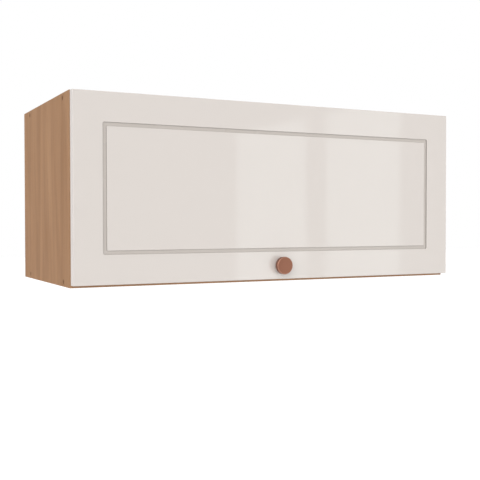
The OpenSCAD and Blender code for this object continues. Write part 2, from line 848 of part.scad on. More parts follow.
module strut_guide(side) {
    end = socket_l + tube_l - rim_t;
    color(steel_colour) on_side(side) along_strut() difference() {
        tube_part(end - guide_t, end, tube_d / 2 - tube_wall);
        tube_part(end - guide_t - 1, end + 1, rod_d / 2 + guide_gap);
    }
}

module strut_rod(side) {
    piston_from = socket_l + tube_end_t + 2;
    color(steel_colour) on_side(side) along_strut() {
        tube_part(piston_from, piston_from + piston_t, tube_d / 2 - tube_wall - piston_gap);
        tube_part(piston_from, strut_l - socket_l, rod_d / 2);
        tube_part(strut_l - socket_l - 1, strut_l - socket_l + thread_l, thread_r);
    }
}

module strut_side_screws() {
    color(steel_colour) for (side = [-1, 1]) on_side(side) in_front() side_bracket_screws_at()
        translate([0, 0, -bracket_t]) small_screw();
}

module strut_flap_screws() {
    color(steel_colour) for (side = [-1, 1]) on_side(side) in_flap() flap_bracket_screws_at()
        translate([0, 0, -bracket_t]) small_screw();
}

side_panel(-1);  // side_panel_left
side_panel(1);  // side_panel_right
top_panel();
bottom_panel();
back_panel();
hanging_rail();
edge_bands();
dowels();
carcass_screws(-1);  // carcass_screws_left
carcass_screws(1);  // carcass_screws_right
back_nails();
flap_panel();
knob();
knob_screw();
flap_buffers();
hinge_plate(-1);  // hinge_plate_left
hinge_plate(1);  // hinge_plate_right
hinge_arm(-1);  // hinge_arm_left
hinge_arm(1);  // hinge_arm_right
hinge_arm_pins(-1);  // hinge_arm_pins_left
hinge_arm_pins(1);  // hinge_arm_pins_right
hinge_outer_links(-1);  // hinge_outer_links_left
hinge_outer_links(1);  // hinge_outer_links_right
hinge_inner_link(-1);  // hinge_inner_link_left
hinge_inner_link(1);  // hinge_inner_link_right
hinge_cup(-1);  // hinge_cup_left
hinge_cup(1);  // hinge_cup_right
hinge_cup_pins(-1);  // hinge_cup_pins_left
hinge_cup_pins(1);  // hinge_cup_pins_right
hinge_plate_screws();
hinge_arm_screws();
hinge_cup_screws();
strut_side_bracket(-1);  // strut_side_bracket_left
strut_side_bracket(1);  // strut_side_bracket_right
strut_flap_bracket(-1);  // strut_flap_bracket_left
strut_flap_bracket(1);  // strut_flap_bracket_right
strut_side_stud(-1);  // strut_side_stud_left
strut_side_stud(1);  // strut_side_stud_right
strut_flap_stud(-1);  // strut_flap_stud_left
strut_flap_stud(1);  // strut_flap_stud_right
strut_tube(-1);  // strut_tube_left
strut_tube(1);  // strut_tube_right
strut_tube_socket(-1);  // strut_tube_socket_left
strut_tube_socket(1);  // strut_tube_socket_right
strut_guide(-1);  // strut_guide_left
strut_guide(1);  // strut_guide_right
strut_rod(-1);  // strut_rod_left
strut_rod(1);  // strut_rod_right
strut_rod_socket(-1);  // strut_rod_socket_left
strut_rod_socket(1);  // strut_rod_socket_right
strut_side_screws();
strut_flap_screws();
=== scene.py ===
import json
from math import pi, radians

import bmesh
import bpy
from mathutils import Matrix, Vector


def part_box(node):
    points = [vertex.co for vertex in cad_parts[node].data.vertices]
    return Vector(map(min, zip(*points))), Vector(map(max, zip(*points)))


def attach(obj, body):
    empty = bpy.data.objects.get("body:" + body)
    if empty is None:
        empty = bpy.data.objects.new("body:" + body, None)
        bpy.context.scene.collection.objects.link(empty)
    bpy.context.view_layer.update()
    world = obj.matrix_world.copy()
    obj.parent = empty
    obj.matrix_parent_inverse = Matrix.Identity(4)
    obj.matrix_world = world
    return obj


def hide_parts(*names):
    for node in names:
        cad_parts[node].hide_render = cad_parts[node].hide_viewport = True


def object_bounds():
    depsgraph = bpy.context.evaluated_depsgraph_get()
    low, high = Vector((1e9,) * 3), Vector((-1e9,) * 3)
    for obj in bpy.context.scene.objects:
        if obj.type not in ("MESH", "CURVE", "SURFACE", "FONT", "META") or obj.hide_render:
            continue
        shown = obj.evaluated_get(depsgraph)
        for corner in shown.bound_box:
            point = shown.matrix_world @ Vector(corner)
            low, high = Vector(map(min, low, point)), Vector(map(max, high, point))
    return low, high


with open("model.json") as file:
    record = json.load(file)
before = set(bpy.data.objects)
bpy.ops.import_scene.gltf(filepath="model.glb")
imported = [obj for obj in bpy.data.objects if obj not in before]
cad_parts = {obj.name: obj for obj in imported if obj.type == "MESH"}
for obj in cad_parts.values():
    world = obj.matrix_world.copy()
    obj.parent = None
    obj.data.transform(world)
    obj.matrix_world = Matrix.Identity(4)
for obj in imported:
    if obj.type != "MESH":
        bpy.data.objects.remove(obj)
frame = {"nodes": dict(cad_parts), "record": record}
cadLow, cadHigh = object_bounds()
cadNodes = frame["nodes"]
bodyOfNode = {
    node: body
    for body, members in frame["record"]["behaviour"]["bodies"].items()
    for node in members
}


# Material helpers. Patterns are given per metre, and relief is a bump's strength and its depth in metres

white = (1, 1, 1)
noiseLow = 0.3    # most of a noise texture's values lie between these two
noiseHigh = 0.7


def newFinish(name):
    finish = bpy.data.materials.new(name)
    finish.use_nodes = True
    tree = finish.node_tree
    return finish, tree, tree.nodes["Principled BSDF"]


def darker(colour, share):
    return tuple(share * part for part in colour)


def spreadRound(middle, share):
    # The values that lie this share below and above the middle
    return middle * (1 - share), middle * (1 + share)


def objectPoint(tree, stretch=(1, 1, 1), shift=(0, 0, 0)):
    # Object coordinates in metres, stretched so that a pattern runs along one direction, then shifted
    coordinates = tree.nodes.new("ShaderNodeTexCoord")
    mapping = tree.nodes.new("ShaderNodeMapping")
    mapping.inputs["Location"].default_value = shift
    mapping.inputs["Scale"].default_value = stretch
    tree.links.new(coordinates.outputs["Object"], mapping.inputs["Vector"])
    return mapping.outputs["Vector"]


def addNoise(tree, point, scale, detail=3, roughness=0.5, distortion=0):
    noise = tree.nodes.new("ShaderNodeTexNoise")
    noise.inputs["Scale"].default_value = scale
    noise.inputs["Detail"].default_value = detail
    noise.inputs["Roughness"].default_value = roughness
    noise.inputs["Distortion"].default_value = distortion
    tree.links.new(point, noise.inputs["Vector"])
    return noise.outputs["Fac"]


def addRamp(tree, factor, stops):
    ramp = tree.nodes.new("ShaderNodeValToRGB")
    while len(ramp.color_ramp.elements) < len(stops):
        ramp.color_ramp.elements.new(0.5)    # the loop below gives it its place
    for element, (place, colour) in zip(ramp.color_ramp.elements, stops):
        element.position = place
        element.color = (*colour, 1)
    tree.links.new(factor, ramp.inputs["Fac"])
    return ramp.outputs["Color"]


def addShade(tree, factor, dark, pale, darkUpTo=noiseLow, paleFrom=noiseHigh):
    return addRamp(tree, factor, [(darkUpTo, dark), (paleFrom, pale)])


def addMix(tree, factor, first, second, blend="MIX"):
    mix = tree.nodes.new("ShaderNodeMix")
    mix.data_type = "RGBA"
    mix.blend_type = blend
    for name, value in (("Factor", factor), ("A", first), ("B", second)):
        socket = mix.inputs[name]
        if isinstance(value, (int, float)):
            socket.default_value = value
        elif isinstance(value, tuple):
            socket.default_value = (*value, 1)
        else:
            tree.links.new(value, socket)
    return mix.outputs["Result"]


def addRange(tree, factor, low, high, fromLow=noiseLow, fromHigh=noiseHigh):
    spread = tree.nodes.new("ShaderNodeMapRange")
    spread.inputs["From Min"].default_value = fromLow
    spread.inputs["From Max"].default_value = fromHigh
    spread.inputs["To Min"].default_value = low
    spread.inputs["To Max"].default_value = high
    tree.links.new(factor, spread.inputs["Value"])
    return spread.outputs["Result"]


def addRelief(tree, shader, height, strength, depth):
    bump = tree.nodes.new("ShaderNodeBump")
    bump.inputs["Strength"].default_value = strength
    bump.inputs["Distance"].default_value = depth
    tree.links.new(height, bump.inputs["Height"])
    tree.links.new(bump.outputs["Normal"], shader.inputs["Normal"])


def setColour(tree, shader, colour):
    tree.links.new(colour, shader.inputs["Base Color"])


def setRoughness(tree, shader, roughness):
    tree.links.new(roughness, shader.inputs["Roughness"])


# Wood-pattern foil of the carcass boards

woodLook = {
    "darkBrown": (0.378, 0.199, 0.100),
    "midBrown": (0.456, 0.252, 0.132),
    "paleBrown": (0.516, 0.294, 0.158),
    "poreBrown": (0.250, 0.124, 0.060),
    "fibreTint": (0.86, 0.85, 0.84),
    "streaks": {"scale": 26, "detail": 5, "roughness": 0.62, "distortion": 0.6},
    "fibres": {"scale": 420, "detail": 3, "roughness": 0.6},
    "pores": {"scale": 900, "detail": 2, "roughness": 0.5},
    "streakStretch": 0.08,
    "fibreStretch": 0.045,
    "streakShift": (0.31, 0.17, 0.23),
    "poreShift": (0.7, 0.2, 0.5),
    "darkUpTo": 0.32,
    "midAt": 0.5,
    "paleFrom": 0.68,
    "fibreShare": 0.8,
    "poreShare": 0.45,
    "poreUpTo": 0.30,
    "poreEnd": 0.38,
    "smooth": 0.62,
    "rough": 0.78,
    "shine": 0.2,
    "relief": (0.25, 0.0002),
}


def grainPoint(tree, grain, stretch, shift):
    # The pattern is drawn out along the grain, which runs along x or z
    return objectPoint(tree, {"x": (stretch, 1, 1), "z": (1, 1, stretch)}[grain], shift)


def woodFoil(name, grain):
    look = woodLook
    finish, tree, shader = newFinish(name)
    streakPoint = grainPoint(tree, grain, look["streakStretch"], look["streakShift"])
    fibrePoint = grainPoint(tree, grain, look["fibreStretch"], look["streakShift"])
    porePoint = grainPoint(tree, grain, look["fibreStretch"], look["poreShift"])
    streaks = addNoise(tree, streakPoint, **look["streaks"])
    fibres = addNoise(tree, fibrePoint, **look["fibres"])
    pores = addNoise(tree, porePoint, **look["pores"])
    base = addRamp(tree, streaks, [
        (look["darkUpTo"], look["darkBrown"]),
        (look["midAt"], look["midBrown"]),
        (look["paleFrom"], look["paleBrown"]),
    ])
    fibreShade = addShade(tree, fibres, look["fibreTint"], white)
    shaded = addMix(tree, look["fibreShare"], base, fibreShade, "MULTIPLY")
    poreMask = addRange(tree, pores, look["poreShare"], 0, look["poreUpTo"], look["poreEnd"])
    setColour(tree, shader, addMix(tree, poreMask, shaded, look["poreBrown"]))
    setRoughness(tree, shader, addRange(tree, fibres, look["smooth"], look["rough"]))
    shader.inputs["Specular IOR Level"].default_value = look["shine"]
    addRelief(tree, shader, fibres, *look["relief"])
    return finish


# Raw chipboard in the cut edges and bores

chipboardLook = {
    "palest": (0.680, 0.445, 0.255),
    "darkest": (0.430, 0.245, 0.128),
    "dustTint": (0.75, 0.74, 0.72),
    "chipsPerMetre": 520,
    "dust": {"scale": 1800, "detail": 3, "roughness": 0.6},
    "darkUpTo": 0.1,
    "paleFrom": 0.9,
    "roughness": 0.9,
    "shine": 0.15,
    "relief": (0.5, 0.0004),
}


def chipboardCore(name):
    look = chipboardLook
    finish, tree, shader = newFinish(name)
    point = objectPoint(tree)
    chips = tree.nodes.new("ShaderNodeTexVoronoi")
    chips.inputs["Scale"].default_value = look["chipsPerMetre"]
    chips.inputs["Randomness"].default_value = 1
    tree.links.new(point, chips.inputs["Vector"])
    dust = addNoise(tree, point, **look["dust"])
    chipShade = addShade(
        tree, chips.outputs["Color"], look["darkest"], look["palest"], look["darkUpTo"], look["paleFrom"]
    )
    dustShade = addShade(tree, dust, look["dustTint"], white)
    setColour(tree, shader, addMix(tree, 1.0, chipShade, dustShade, "MULTIPLY"))
    shader.inputs["Roughness"].default_value = look["roughness"]
    shader.inputs["Specular IOR Level"].default_value = look["shine"]
    addRelief(tree, shader, chips.outputs["Distance"], *look["relief"])
    return finish


# Hardboard of the back, felted and clouded

hardboardLook = {
    "brown": (0.26, 0.155, 0.09),
    "lightBrown": (0.36, 0.235, 0.145),
    "cloudTint": (0.88, 0.87, 0.86),
    "felt": {"scale": 240, "detail": 6, "roughness": 0.7, "distortion": 0.6},
    "clouds": {"scale": 9, "detail": 3},
    "paleFrom": 0.72,
    "smooth": 0.6,
    "rough": 0.85,
    "shine": 0.25,
    "relief": (0.3, 0.0003),
}


def hardboard(name):
    look = hardboardLook
    finish, tree, shader = newFinish(name)
    point = objectPoint(tree)
    felt = addNoise(tree, point, **look["felt"])
    clouds = addNoise(tree, point, **look["clouds"])
    feltShade = addShade(tree, felt, look["brown"], look["lightBrown"], paleFrom=look["paleFrom"])
    cloudShade = addShade(tree, clouds, look["cloudTint"], white)
    setColour(tree, shader, addMix(tree, 1.0, feltShade, cloudShade, "MULTIPLY"))
    setRoughness(tree, shader, addRange(tree, felt, look["smooth"], look["rough"]))
    shader.inputs["Specular IOR Level"].default_value = look["shine"]
    addRelief(tree, shader, felt, *look["relief"])
    return finish


# Beech of the dowels

beechLook = {
    "pale": (0.66, 0.46, 0.28),
    "dark": (0.50, 0.32, 0.18),
    "grain": {"scale": 900, "detail": 4, "roughness": 0.6},
    "stretch": (0.08, 1, 1),
    "smooth": 0.55,
    "rough": 0.75,
    "relief": (0.3, 0.0002),
}


def beech(name):
    look = beechLook
    finish, tree, shader = newFinish(name)
    grain = addNoise(tree, objectPoint(tree, look["stretch"]), **look["grain"])
    setColour(tree, shader, addShade(tree, grain, look["dark"], look["pale"]))
    setRoughness(tree, shader, addRange(tree, grain, look["smooth"], look["rough"]))
    addRelief(tree, shader, grain, *look["relief"])
    return finish


# Lacquer of the flap: gloss outside, satin foil inside, and painted shade in the groove, on its floor and
# darker on its walls

lacquerLooks = {
    "gloss": {
        "name": "flapGlossLacquer", "colour": (0.781, 0.719, 0.674), "roughness": 0.048, "peel": 0.05,
    },
    "satin": {
        "name": "flapInnerFoil", "colour": (0.770, 0.722, 0.680), "roughness": 0.38, "peel": 0.2,
    },
    # The groove's two tones are painted shade of the recess: the floor darker than the face, the walls darker
    # still
    "grooveFloorPaintedShade": {
        "name": "flapGrooveFloorPaintedShade", "colour": (0.630, 0.570, 0.523), "roughness": 0.3, "peel": 0.1,
    },
    "grooveWallPaintedShade": {
        "name": "flapGrooveWallPaintedShade", "colour": (0.180, 0.162, 0.147), "roughness": 0.34, "peel": 0.1,
    },
}
lacquerPattern = {
    "clouds": {"scale": 7, "detail": 3},
    "peel": {"scale": 260, "detail": 2, "roughness": 0.4},
    "cloudShare": 0.992,
    "roughnessSpread": 0.15,
    "peelDepth": 0.00005,
}


def lacquer(look):
    pattern = lacquerPattern
    finish, tree, shader = newFinish(look["name"])
    colour = look["colour"]
    point = objectPoint(tree)
    clouds = addNoise(tree, point, **pattern["clouds"])
    peel = addNoise(tree, point, **pattern["peel"])
    setColour(tree, shader, addShade(tree, clouds, darker(colour, pattern["cloudShare"]), colour))
    smoothest, roughest = spreadRound(look["roughness"], pattern["roughnessSpread"])
    setRoughness(tree, shader, addRange(tree, clouds, smoothest, roughest))
    addRelief(tree, shader, peel, look["peel"], pattern["peelDepth"])
    return finish


# Metals: a brushed grain, and dull patches where spots is more than 0

usualMetal = {"metallic": 1.0, "shine": 0.5, "spots": 0.0, "texture": 0.12, "stretch": (1, 1, 1)}
metalLooks = {
    "bronzed": {
        "name": "bronzedSteel", "colour": (0.250, 0.120, 0.041), "smooth": 0.50, "rough": 0.62,
        "grainPerMetre": 900, "metallic": 0.15, "spots": 0.2, "shine": 0.15,
    },
    "zinc": {
        "name": "zincPlatedSteel", "colour": (0.60, 0.61, 0.63), "smooth": 0.28, "rough": 0.44,
        "grainPerMetre": 1100, "spots": 0.35,
    },
    "nickel": {
        "name": "nickelPlatedSteel", "colour": (0.66, 0.635, 0.60), "smooth": 0.18, "rough": 0.30,
        "grainPerMetre": 700, "spots": 0.2,
    },
    "chrome": {
        "name": "chromedRod", "colour": (0.74, 0.75, 0.76), "smooth": 0.07, "rough": 0.14,
        "grainPerMetre": 1500, "stretch": (1, 0.1, 0.1), "texture": 0.04,
    },
    "blackSteel": {
        "name": "blackPaintedSteel", "colour": (0.022, 0.022, 0.024), "smooth": 0.36, "rough": 0.48,
        "grainPerMetre": 2600, "metallic": 0.0, "texture": 0.3,
    },
}
metalPattern = {
    "brushing": {"detail": 4, "roughness": 0.6},
    "brushingShare": 0.86,
    "patchShift": (0.4, 0.1, 0.8),
    "grainsPerPatch": 9,
    "patchUpTo": 0.3,
    "patchEnd": 0.5,
    "dullShare": 0.55,
    "textureDepth": 0.00005,
}


def metal(look):
    look = {**usualMetal, **look}
    pattern = metalPattern
    finish, tree, shader = newFinish(look["name"])
    colour = look["colour"]
    scale = look["grainPerMetre"]
    brushing = addNoise(tree, objectPoint(tree, look["stretch"]), scale, **pattern["brushing"])
    patchPoint = objectPoint(tree, shift=pattern["patchShift"])
    patches = addNoise(tree, patchPoint, scale / pattern["grainsPerPatch"])
    tint = addShade(tree, brushing, darker(colour, pattern["brushingShare"]), colour)
    patchMask = addRange(tree, patches, look["spots"], 0, pattern["patchUpTo"], pattern["patchEnd"])
    setColour(tree, shader, addMix(tree, patchMask, tint, darker(colour, pattern["dullShare"])))
    setRoughness(tree, shader, addRange(tree, patches, look["rough"], look["smooth"]))
    shader.inputs["Metallic"].default_value = look["metallic"]
    shader.inputs["Specular IOR Level"].default_value = look["shine"]
    addRelief(tree, shader, brushing, look["texture"], pattern["textureDepth"])
    return finish


# Copper colour of the knob, with a painted highlight as a lighter ring on the rounded rim, and darker on the
# side and the neck

copperLook = {
    "face": (0.256, 0.108, 0.067),
    # painted highlight: a lighter ring on the rounded rim
    "paintedRimHighlight": (0.410, 0.202, 0.140),
    "side": (0.264, 0.118, 0.078),
    "ringTint": (0.9, 0.9, 0.9),
    "edgeDepth": 0.0018,
    "faceUpTo": 0.10,    # this and the next three are shares of edgeDepth, from the face to the side
    "highlightFrom": 0.45,
    "highlightUpTo": 0.75,
    "sideFrom": 0.97,
    "rings": {"scale": 700, "detail": 3, "roughness": 0.6},
    "metallic": 0.75,
    "smooth": 0.32,
    "rough": 0.44,
    "relief": (0.1, 0.00005),
}


def copperFinish(name, centre, headRadius):
    look = copperLook
    finish, tree, shader = newFinish(name)
    point = objectPoint(tree, shift=(-centre[0], 0, -centre[2]))
    flat = tree.nodes.new("ShaderNodeVectorMath")
    flat.operation = "MULTIPLY"
    flat.inputs[1].default_value = (1, 0, 1)
    tree.links.new(point, flat.inputs[0])
    radius = tree.nodes.new("ShaderNodeVectorMath")
    radius.operation = "LENGTH"
    tree.links.new(flat.outputs["Vector"], radius.inputs[0])
    outwards = addRange(tree, radius.outputs["Value"], 0, 1, headRadius - look["edgeDepth"], headRadius)
    # The lighter tone on the rim is a painted highlight
    tones = addRamp(tree, outwards, [
        (look["faceUpTo"], look["face"]),
        (look["highlightFrom"], look["paintedRimHighlight"]),
        (look["highlightUpTo"], look["paintedRimHighlight"]),
        (look["sideFrom"], look["side"]),
    ])
    rings = addNoise(tree, point, **look["rings"])
    ringShade = addShade(tree, rings, look["ringTint"], white)
    setColour(tree, shader, addMix(tree, 1.0, tones, ringShade, "MULTIPLY"))
    setRoughness(tree, shader, addRange(tree, rings, look["smooth"], look["rough"]))
    shader.inputs["Metallic"].default_value = look["metallic"]
    addRelief(tree, shader, rings, *look["relief"])
    return finish


# Plastic of the struts' sockets and rubber of the bumpers

plasticLooks = {
    "blackPlastic": {
        "name": "blackPlastic", "colour": (0.025, 0.025, 0.027), "roughness": 0.5,
        "grainPerMetre": 1600, "clear": 0.0,
    },
    "rubber": {
        "name": "clearRubber", "colour": (0.78, 0.80, 0.80), "roughness": 0.3,
        "grainPerMetre": 900, "clear": 0.4,
    },
}
plasticPattern = {
    "grain": {"detail": 3, "roughness": 0.6},
    "grainShare": 0.9,
    "roughnessSpread": 0.15,
    "relief": (0.2, 0.0001),
}


def plastic(look):
    pattern = plasticPattern
    finish, tree, shader = newFinish(look["name"])
    colour = look["colour"]
    grain = addNoise(tree, objectPoint(tree), look["grainPerMetre"], **pattern["grain"])
    setColour(tree, shader, addShade(tree, grain, darker(colour, pattern["grainShare"]), colour))
    smoothest, roughest = spreadRound(look["roughness"], pattern["roughnessSpread"])
    setRoughness(tree, shader, addRange(tree, grain, smoothest, roughest))
    shader.inputs["Transmission Weight"].default_value = look["clear"]
    addRelief(tree, shader, grain, *pattern["relief"])
    return finish


knobLow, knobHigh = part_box("knob")
knobCentre = (knobLow + knobHigh) / 2
knobRadius = (knobHigh.x - knobLow.x) / 2

finishes = {
    "woodUpright": woodFoil("woodFoilUpright", "z"),
    "woodAcross": woodFoil("woodFoilAcross", "x"),
    "chipboard": chipboardCore("chipboardCore"),
    "hardboard": hardboard("hardboardBack"),
    "beech": beech("beechDowel"),
    **{key: lacquer(look) for key, look in lacquerLooks.items()},
    "copper": copperFinish("knobCopper", knobCentre, knobRadius),
    **{key: plastic(look) for key, look in plasticLooks.items()},
    **{key: metal(look) for key, look in metalLooks.items()},
}
print("finishes made:", len(finishes))


# Copies of the CAD meshes, with their loose triangles merged and their edges softened

meshValues = {
    "mergeWithin": 0.000002,
    "flatWithin": 0.4,    # degrees, and so are the next two
    "softenAbove": 40,
    "sharpAbove": 30,
    "softSteps": 2,
    "broadFaceWeight": 100,
}
closeTogether = 0.00001    # points nearer than this lie in one place
squarely = 0.9             # a face whose normal has more than this along an axis faces that way


def addToScene(shape, name):
    mesh = bpy.data.meshes.new(name)
    shape.to_mesh(mesh)
    shape.free()
    thing = bpy.data.objects.new(name, mesh)
    bpy.context.scene.collection.objects.link(thing)
    return thing


def mergedCopy(node, pieceName, joinFaces=True):
    shape = bmesh.new()
    shape.from_mesh(cadNodes[node].data)
    bmesh.ops.remove_doubles(shape, verts=shape.verts, dist=meshValues["mergeWithin"])
    if joinFaces:
        bmesh.ops.dissolve_limit(
            shape, angle_limit=radians(meshValues["flatWithin"]),
            verts=shape.verts, edges=shape.edges, use_dissolve_boundaries=False,
        )
    return addToScene(shape, pieceName)


def finishPiece(piece, nodes):
    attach(piece, bodyOfNode[nodes[0]])
    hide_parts(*nodes)


def softenEdges(piece, width):
    bevel = piece.modifiers.new("softEdges", "BEVEL")
    bevel.width = width
    bevel.segments = meshValues["softSteps"]
    bevel.limit_method = "ANGLE"
    bevel.angle_limit = radians(meshValues["softenAbove"])
    bevel.use_clamp_overlap = True
    flatten = piece.modifiers.new("flatFaces", "WEIGHTED_NORMAL")    # keeps broad faces flat
    flatten.weight = meshValues["broadFaceWeight"]
    flatten.keep_sharp = True


def smoothShade(piece, sharpAbove=meshValues["sharpAbove"]):
    piece.data.shade_smooth()
    piece.data.set_sharp_from_angle(angle=radians(sharpAbove))


def paintFaces(piece, finishKeys, choose=lambda face: 0):
    # One material slot for each finish, and choose() gives each face its slot
    piece.data.materials.clear()
    for key in finishKeys:
        piece.data.materials.append(finishes[key])
    for face in piece.data.polygons:
        face.material_index = choose(face)


# Carcass boards: foil on the broad faces, chipboard in the cut edges and bores

boardPieces = {
    "side_panel_left": {"piece": "leftSide", "faceAxis": 0, "foil": "woodUpright"},
    "side_panel_right": {"piece": "rightSide", "faceAxis": 0, "foil": "woodUpright"},
    "top_panel": {"piece": "topBoard", "faceAxis": 2, "foil": "woodAcross"},
    "bottom_panel": {"piece": "bottomBoard", "faceAxis": 2, "foil": "woodAcross"},
    "hanging_rail": {"piece": "hangingRail", "faceAxis": 1, "foil": "woodAcross"},
}
for node, values in boardPieces.items():
    board = mergedCopy(node, values["piece"])
    axis = values["faceAxis"]
    paintFaces(
        board, [values["foil"], "chipboard"], lambda face: 0 if abs(face.normal[axis]) > squarely else 1
    )
    finishPiece(board, [node])

backBoard = mergedCopy("back_panel", "backBoard")
paintFaces(backBoard, ["woodAcross", "hardboard"], lambda face: 0 if face.normal[1] < -squarely else 1)
finishPiece(backBoard, ["back_panel"])

# Faces this near the cabinet's sides get upright grain. They stay apart, so that each gets its own
edgeBandValues = {"uprightWithin": 0.0155}
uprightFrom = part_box("edge_bands")[1].x - edgeBandValues["uprightWithin"]
edgeBands = mergedCopy("edge_bands", "edgeBands", joinFaces=False)
paintFaces(
    edgeBands, ["woodUpright", "woodAcross"], lambda face: 0 if abs(face.center[0]) > uprightFrom else 1
)
finishPiece(edgeBands, ["edge_bands"])
print("boards dressed")


# Flap: gloss outside, satin inside, edges softened and the rims of the milled groove rounded

flapValues = {
    "softening": 0.0003,
    "grooveRim": 0.0005,
    "rimSteps": 3,
    "rimAbove": 60,    # degrees between the faces that meet at a rim
    "grooveDepth": 0.002,
    "grooveMargin": 0.04,    # the groove lies further inside the flap's edges than this, the knob's bore less
}
flapLow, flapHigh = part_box("flap_panel")
flap = mergedCopy("flap_panel", "flapDoor")


def insideMargin(point):
    margin = flapValues["grooveMargin"]
    return abs(point[0]) < flapHigh.x - margin and flapLow.z + margin < point[2] < flapHigh.z - margin


def roundGrooveRims(piece, values):
    # The foil bends softly where the walls of the groove meet the flap's face
    shape = bmesh.new()
    shape.from_mesh(piece.data)
    onFace = {corner for corner in shape.verts if corner.co.y - flapLow.y < closeTogether}
    rims = [
        edge for edge in shape.edges
        if onFace.issuperset(edge.verts)
        and insideMargin(edge.verts[0].co)
        and edge.calc_face_angle(0) > radians(values["rimAbove"])
    ]
    bmesh.ops.bevel(
        shape, geom=rims, offset=values["grooveRim"], offset_type="OFFSET", affect="EDGES",
        segments=values["rimSteps"], profile=0.5, material=-1, clamp_overlap=True,
    )
    shape.to_mesh(piece.data)
    shape.free()


def flapFinish(face):
    # Slots: 0 gloss, 1 satin on the inner face and the bores' floors, 2 the groove's floor and 3 its walls,
    # both with painted shade
    if face.normal[1] > squarely:
        return 1
    depth = face.center[1] - flapLow.y
    inGroove = flapValues["grooveRim"] < depth < flapValues["grooveDepth"] + closeTogether
    if inGroove and insideMargin(face.center):
        return 2 if face.normal[1] < -squarely else 3
    return 0


roundGrooveRims(flap, flapValues)
paintFaces(flap, ["gloss", "satin", "grooveFloorPaintedShade", "grooveWallPaintedShade"], flapFinish)
softenEdges(flap, flapValues["softening"])
smoothShade(flap)
finishPiece(flap, ["flap_panel"])
print("flap dressed")


# Knob: a profile spun round its axis, then its rims rounded

knobValues = {
    "footRadius": 0.008,
    "footDepth": 0.0015,
    "neckRadius": 0.006,
    "headDepth": 0.008,
    "boreRadius": 0.0021,
    "boreDepth": 0.0095,
    "turns": 96,
    "frontRim": 0.0013,
    "backRim": 0.0016,
    "footRim": 0.0004,
    "rimSteps": 5,
    "weldWithin": 0.000001,
    "sharpAbove": 50,
}


def makeKnob(values):
    reach = knobHigh.y - knobLow.y
    headFrom = reach - values["headDepth"]
    profile = [
        (0, values["boreDepth"]), (values["boreRadius"], values["boreDepth"]), (values["boreRadius"], 0),
        (values["footRadius"], 0), (values["footRadius"], values["footDepth"]),
        (values["neckRadius"], values["footDepth"]), (values["neckRadius"], headFrom),
        (knobRadius, headFrom), (knobRadius, reach), (0, reach),
    ]
    shape = bmesh.new()
    line = [shape.verts.new((radius, -away, 0)) for radius, away in profile]
    edges = [shape.edges.new(pair) for pair in zip(line, line[1:])]
    bmesh.ops.spin(
        shape, geom=line + edges, cent=(0, 0, 0), axis=(0, 1, 0),
        angle=2 * pi, steps=values["turns"], use_merge=True,
    )
    bmesh.ops.remove_doubles(shape, verts=shape.verts, dist=values["weldWithin"])
    bmesh.ops.recalc_face_normals(shape, faces=shape.faces)

    def onRing(corner, radius, away):
        fromAxis = Vector((corner.co.x, corner.co.z)).length
        return abs(fromAxis - radius) < closeTogether and abs(corner.co.y + away) < closeTogether

    def ringEdges(radius, away):
        return [edge for edge in shape.edges if all(onRing(corner, radius, away) for corner in edge.verts)]

    for radius, away, width in (
        (knobRadius, reach, values["frontRim"]),
        (knobRadius, headFrom, values["backRim"]),
        (values["footRadius"], values["footDepth"], values["footRim"]),
    ):
        bmesh.ops.bevel(
            shape, geom=ringEdges(radius, away), offset=width, offset_type="OFFSET", affect="EDGES",
            segments=values["rimSteps"], profile=0.5, material=-1, clamp_overlap=True,
        )
    bmesh.ops.translate(shape, verts=shape.verts, vec=(knobCentre.x, knobHigh.y, knobCentre.z))
    return addToScene(shape, "turnedKnob")


knob = makeKnob(knobValues)
paintFaces(knob, ["copper"])
smoothShade(knob, knobValues["sharpAbove"])
finishPiece(knob, ["knob"])
print("knob turned")


# Fittings: softened copies of the hinges, struts, screws and bumpers, and better finishes on the rest

fittingPieces = {    # piece, finish, slot and softening
    "hinge_plate": ("hingePlate", "zinc", "zinc_steel", 0.00035),
    "hinge_arm": ("hingeArm", "nickel", "nickel_steel", 0.00025),
    "hinge_outer_links": ("hingeOuterLinks", "nickel", "nickel_steel", 0.0002),
    "hinge_inner_link": ("hingeInnerLink", "nickel", "nickel_steel", 0.00025),
    "hinge_cup": ("hingeCup", "nickel", "nickel_steel", 0.0002),
    "strut_side_bracket": ("strutSideBracket", "zinc", "zinc_steel", 0.00025),
    "strut_flap_bracket": ("strutFlapBracket", "zinc", "zinc_steel", 0.00025),
    "strut_side_stud": ("strutSideStud", "zinc", "zinc_steel", 0.0002),
    "strut_flap_stud": ("strutFlapStud", "zinc", "zinc_steel", 0.0002),
    "strut_tube": ("strutTube", "blackSteel", "black_steel", 0.0005),
    "strut_tube_socket": ("strutTubeSocket", "blackPlastic", "black_plastic", 0.0005),
    "strut_rod_socket": ("strutRodSocket", "blackPlastic", "black_plastic", 0.0005),
    "strut_rod": ("strutRod", "chrome", "chromed_rod", 0.0002),
}
smallSoftening = 0.00012
smallPieces = {    # piece, finish and slot
    "carcass_screws_left": ("carcassScrewsLeft", "bronzed", "bronzed_steel"),
    "carcass_screws_right": ("carcassScrewsRight", "bronzed", "bronzed_steel"),
    "hinge_plate_screws": ("hingePlateScrews", "zinc", "zinc_steel"),
    "hinge_arm_screws": ("hingeArmScrews", "nickel", "nickel_steel"),
    "hinge_cup_screws": ("hingeCupScrews", "zinc", "zinc_steel"),
    "strut_side_screws": ("strutSideScrews", "zinc", "zinc_steel"),
    "strut_flap_screws": ("strutFlapScrews", "zinc", "zinc_steel"),
    "knob_screw": ("knobScrew", "zinc", "zinc_steel"),
    "flap_buffers": ("flapBuffers", "rubber", "clear_rubber"),
}
